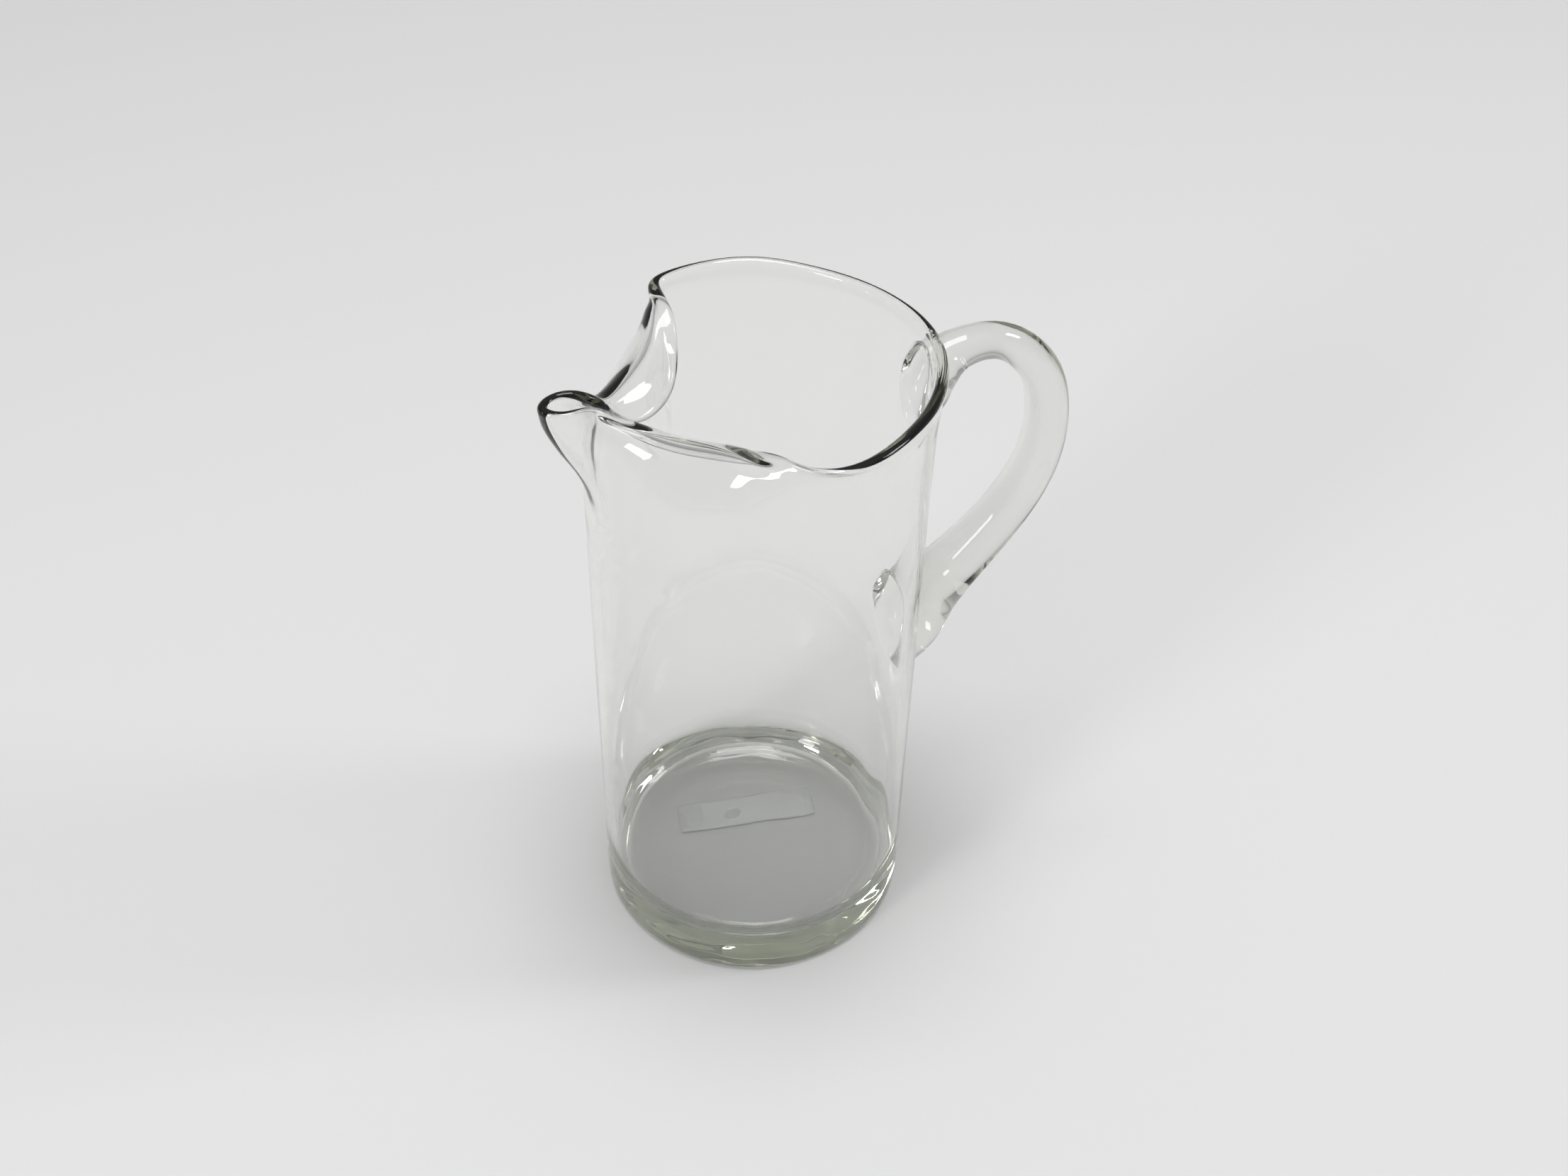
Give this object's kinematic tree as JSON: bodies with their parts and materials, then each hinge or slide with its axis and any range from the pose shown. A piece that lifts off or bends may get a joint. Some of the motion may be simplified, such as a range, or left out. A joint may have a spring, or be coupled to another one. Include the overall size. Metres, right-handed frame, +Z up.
{
  "type": "glass water jug",
  "caption": "Large clear glass water jug with a pinched pouring lip, a thick base and a solid applied handle.",
  "frame": {"origin": "centre of the foot ring, in the plane the jug stands on", "axes": "+Z up along the body's axis, the spout points to -X and the handle to +X"},
  "size_m": [0.1775, 0.1154, 0.2317],
  "materials": {
    "glass": "clear blown glass, faintly grey-green, fire polished",
    "handle_glass": "clear solid glass, faintly grey-green",
    "label": "blank white self-adhesive label"
  },
  "bodies": {
    "root": {"glass_body": "glass", "handle": "handle_glass", "base_label": "label"}
  },
  "joints": []
}
